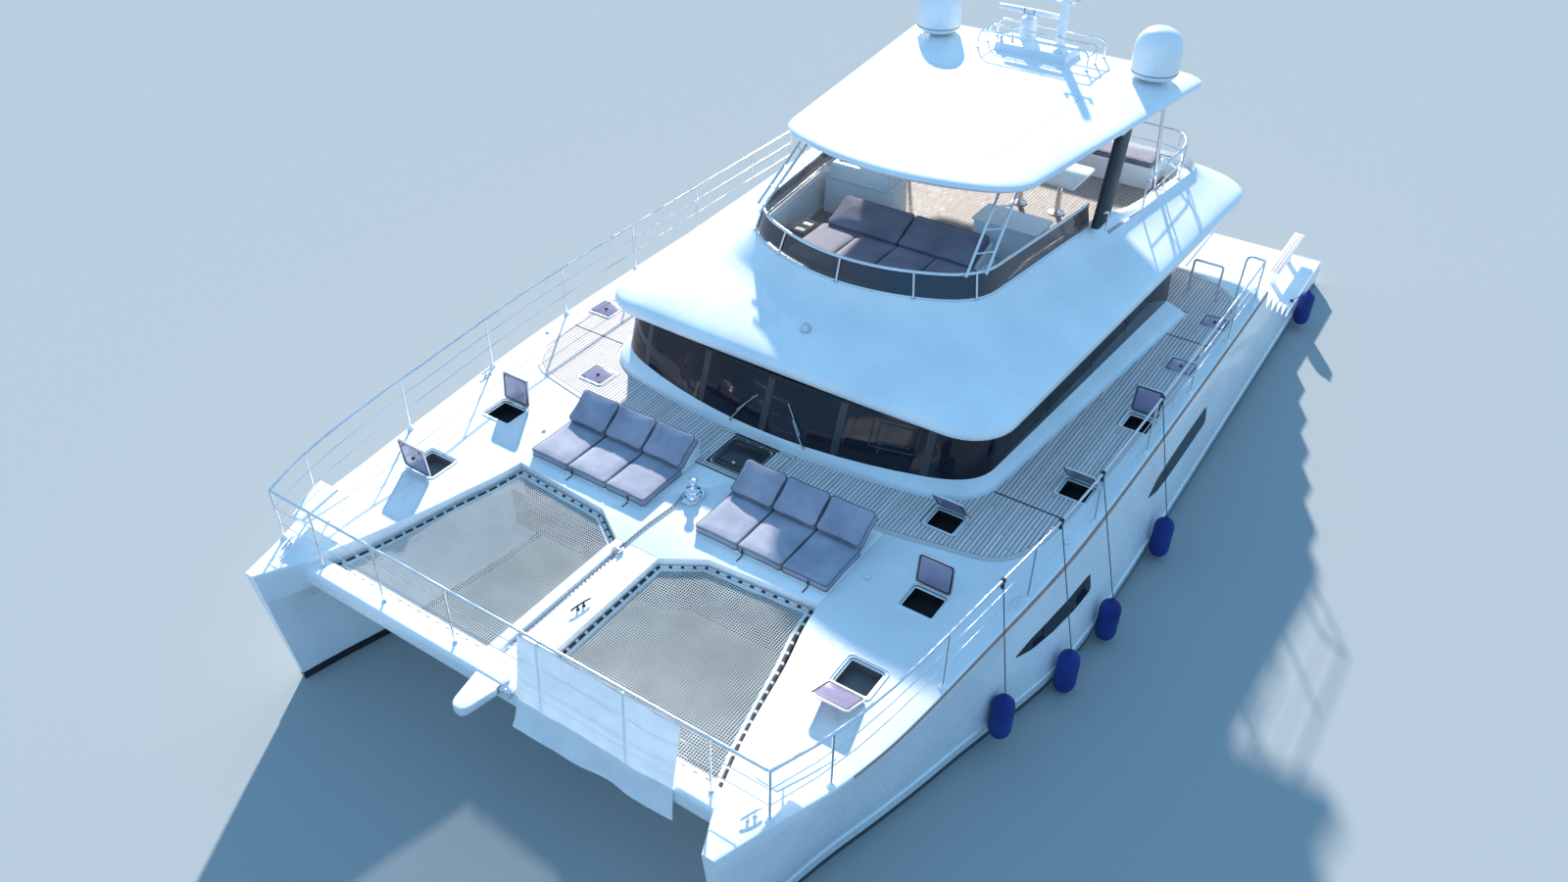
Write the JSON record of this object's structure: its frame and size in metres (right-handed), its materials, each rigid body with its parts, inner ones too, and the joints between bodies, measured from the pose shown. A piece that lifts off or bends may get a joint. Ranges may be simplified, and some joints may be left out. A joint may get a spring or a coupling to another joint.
{
  "type": "power catamaran",
  "caption": "Motor catamaran afloat with deckhouse, covered flybridge, opening deck hatches, trampolines, rails, fenders, turning propellers and rudders, and a lifting stern platform",
  "frame": {"origin": "On the waterline plane, amidships on the centreline", "axes": "Bow at -Y, stern at +Y, port side at +X, up at +Z; the boat lies upright at rest afloat"},
  "size_m": [10.3003, 19.28, 7.4],
  "materials": {
    "gelcoat": "glossy white gelcoat over glass-fibre laminate, satin non-skid on the decks",
    "steel": "polished stainless steel",
    "dark_glass": "dark tinted toughened glass with a black edge band",
    "tinted_screen": "smoke tinted acrylic screen",
    "hatch_acrylic": "smoked acrylic lids in light frames",
    "black_paint": "satin black painted frames",
    "teak": "weathered grey teak strips with black caulking",
    "net": "pale woven trampoline netting laced to its frame",
    "canvas": "slate blue-grey woven outdoor cushion cover",
    "banner_cloth": "plain white printed-banner cloth, left bare",
    "fender_cover": "blue knitted fender covers over inflated vinyl",
    "bronze": "bare propeller bronze",
    "antifouling": "matt black antifouling",
    "engine_paint": "grey engine enamel",
    "black_plastic": "black leather-grained wheel rim",
    "table_top": "satin white table top"
  },
  "bodies": {
    "boat": {"hull_port": "gelcoat", "deck_port": "gelcoat", "engine_port": "engine_paint", "rail_port": "steel", "hull_starboard": "gelcoat", "deck_starboard": "gelcoat", "engine_starboard": "engine_paint", "rail_starboard": "steel", "bridge_deck": "gelcoat", "crossbeam": "gelcoat", "trampoline_port": "net", "trampoline_starboard": "net", "windlass": "steel", "deckhouse_frame": "gelcoat", "deckhouse_glass": "dark_glass", "aft_bulkhead": "black_paint", "teak_deck": "teak", "flybridge": "gelcoat", "fly_screen": "tinted_screen", "fly_rail": "steel", "hardtop": "gelcoat", "fly_aft_rail": "steel", "dome_port": "gelcoat", "dome_starboard": "gelcoat", "mast_frame": "gelcoat", "sunbed_port": "canvas", "sunbed_starboard": "canvas", "fly_sunpad": "canvas", "fly_seat_pad": "canvas", "fly_table": "table_top", "fender_1": "fender_cover", "fender_2": "fender_cover", "fender_3": "fender_cover", "fender_4": "fender_cover", "fender_5": "fender_cover", "banner": "banner_cloth", "passerelle": "gelcoat"},
    "shaftline_port": {"propeller_port": "bronze"},
    "rudder_port_blade": {"rudder_port": "antifouling"},
    "lid_port_1": {"hatch_port_1": "hatch_acrylic"},
    "lid_port_2": {"hatch_port_2": "hatch_acrylic"},
    "lid_port_3": {"hatch_port_3": "hatch_acrylic"},
    "lid_port_4": {"hatch_port_4": "hatch_acrylic"},
    "lid_port_5": {"hatch_port_5": "hatch_acrylic"},
    "lid_port_6": {"hatch_port_6": "hatch_acrylic"},
    "lid_port_7": {"hatch_port_7": "hatch_acrylic"},
    "shaftline_starboard": {"propeller_starboard": "bronze"},
    "rudder_starboard_blade": {"rudder_starboard": "antifouling"},
    "lid_starboard_1": {"hatch_starboard_1": "hatch_acrylic"},
    "lid_starboard_2": {"hatch_starboard_2": "hatch_acrylic"},
    "lid_starboard_3": {"hatch_starboard_3": "hatch_acrylic"},
    "lid_starboard_4": {"hatch_starboard_4": "hatch_acrylic"},
    "lid_starboard_5": {"hatch_starboard_5": "hatch_acrylic"},
    "lid_starboard_6": {"hatch_starboard_6": "hatch_acrylic"},
    "lid_starboard_7": {"hatch_starboard_7": "hatch_acrylic"},
    "lid_centre": {"hatch_centre": "hatch_acrylic"},
    "scanner": {"radar_scanner": "gelcoat"},
    "helm": {"helm_wheel": "black_plastic"},
    "door": {"saloon_door": "dark_glass"},
    "platform": {"tender_platform": "gelcoat"}
  },
  "joints": [
    {"name": "propeller_port_spin", "type": "hinge", "parent": "boat", "child": "shaftline_port", "pos_m": [3.87, 8.2, -0.68], "axis": [0, 1, 0], "continuous": true},
    {"name": "rudder_port_turn", "type": "hinge", "parent": "boat", "child": "rudder_port_blade", "pos_m": [3.87, 8.9, -0.4], "axis": [0, 0, 1], "range_deg": [-35, 35]},
    {"name": "hatch_port_1_hinge", "type": "hinge", "parent": "boat", "child": "lid_port_1", "pos_m": [3.45, -6.92, 1.9183], "axis": [1, 0, 0], "range_deg": [-155, 5]},
    {"name": "hatch_port_2_hinge", "type": "hinge", "parent": "boat", "child": "lid_port_2", "pos_m": [3.48, -4.95, 1.9183], "axis": [-1, 0, 0], "range_deg": [-95, 15]},
    {"name": "hatch_port_3_hinge", "type": "hinge", "parent": "boat", "child": "lid_port_3", "pos_m": [3, -3.46, 1.9183], "axis": [-1, 0, 0], "range_deg": [-55, 55]},
    {"name": "hatch_port_4_hinge", "type": "hinge", "parent": "boat", "child": "lid_port_4", "pos_m": [4.18, -1.88, 1.9183], "axis": [-1, 0, 0], "range_deg": [-50, 60]},
    {"name": "hatch_port_5_hinge", "type": "hinge", "parent": "boat", "child": "lid_port_5", "pos_m": [4.33, 0.11, 1.9183], "axis": [-1, 0, 0], "range_deg": [-97, 13]},
    {"name": "hatch_port_6_hinge", "type": "hinge", "parent": "boat", "child": "lid_port_6", "pos_m": [4.35, 1.93, 1.9183], "axis": [-1, 0, 0], "range_deg": [0, 110]},
    {"name": "hatch_port_7_hinge", "type": "hinge", "parent": "boat", "child": "lid_port_7", "pos_m": [4.37, 3.56, 1.9183], "axis": [-1, 0, 0], "range_deg": [0, 110]},
    {"name": "propeller_starboard_spin", "type": "hinge", "parent": "boat", "child": "shaftline_starboard", "pos_m": [-3.87, 8.2, -0.68], "axis": [0, 1, 0], "continuous": true},
    {"name": "rudder_starboard_turn", "type": "hinge", "parent": "boat", "child": "rudder_starboard_blade", "pos_m": [-3.87, 8.9, -0.4], "axis": [0, 0, 1], "range_deg": [-35, 35]},
    {"name": "hatch_starboard_1_hinge", "type": "hinge", "parent": "boat", "child": "lid_starboard_1", "pos_m": [-3.45, -6.92, 1.9183], "axis": [1, 0, 0], "range_deg": [-95, 65]},
    {"name": "hatch_starboard_2_hinge", "type": "hinge", "parent": "boat", "child": "lid_starboard_2", "pos_m": [-3.48, -4.95, 1.9183], "axis": [-1, 0, 0], "range_deg": [-95, 15]},
    {"name": "hatch_starboard_3_hinge", "type": "hinge", "parent": "boat", "child": "lid_starboard_3", "pos_m": [-3, -3.46, 1.9183], "axis": [-1, 0, 0], "range_deg": [0, 110]},
    {"name": "hatch_starboard_4_hinge", "type": "hinge", "parent": "boat", "child": "lid_starboard_4", "pos_m": [-4.18, -1.88, 1.9183], "axis": [-1, 0, 0], "range_deg": [0, 110]},
    {"name": "hatch_starboard_5_hinge", "type": "hinge", "parent": "boat", "child": "lid_starboard_5", "pos_m": [-4.33, 0.11, 1.9183], "axis": [-1, 0, 0], "range_deg": [0, 110]},
    {"name": "hatch_starboard_6_hinge", "type": "hinge", "parent": "boat", "child": "lid_starboard_6", "pos_m": [-4.35, 1.93, 1.9183], "axis": [-1, 0, 0], "range_deg": [0, 110]},
    {"name": "hatch_starboard_7_hinge", "type": "hinge", "parent": "boat", "child": "lid_starboard_7", "pos_m": [-4.37, 3.56, 1.9183], "axis": [-1, 0, 0], "range_deg": [0, 110]},
    {"name": "hatch_centre_hinge", "type": "hinge", "parent": "boat", "child": "lid_centre", "pos_m": [0, -3.79, 1.9183], "axis": [-1, 0, 0], "range_deg": [0, 110]},
    {"name": "radar_spin", "type": "hinge", "parent": "boat", "child": "scanner", "pos_m": [-0.42, 5.35, 5.56], "axis": [0, 0, 1], "continuous": true},
    {"name": "helm_spin", "type": "hinge", "parent": "boat", "child": "helm", "pos_m": [-1.35, 1.8803, 3.56], "axis": [0, 1, 0], "continuous": true},
    {"name": "saloon_door_slide", "type": "slide", "parent": "boat", "child": "door", "axis": [1, 0, 0], "range_m": [0, 0.92]},
    {"name": "tender_platform_lift", "type": "slide", "parent": "boat", "child": "platform", "axis": [0, 0, 1], "range_m": [-0.45, 0]}
  ]
}
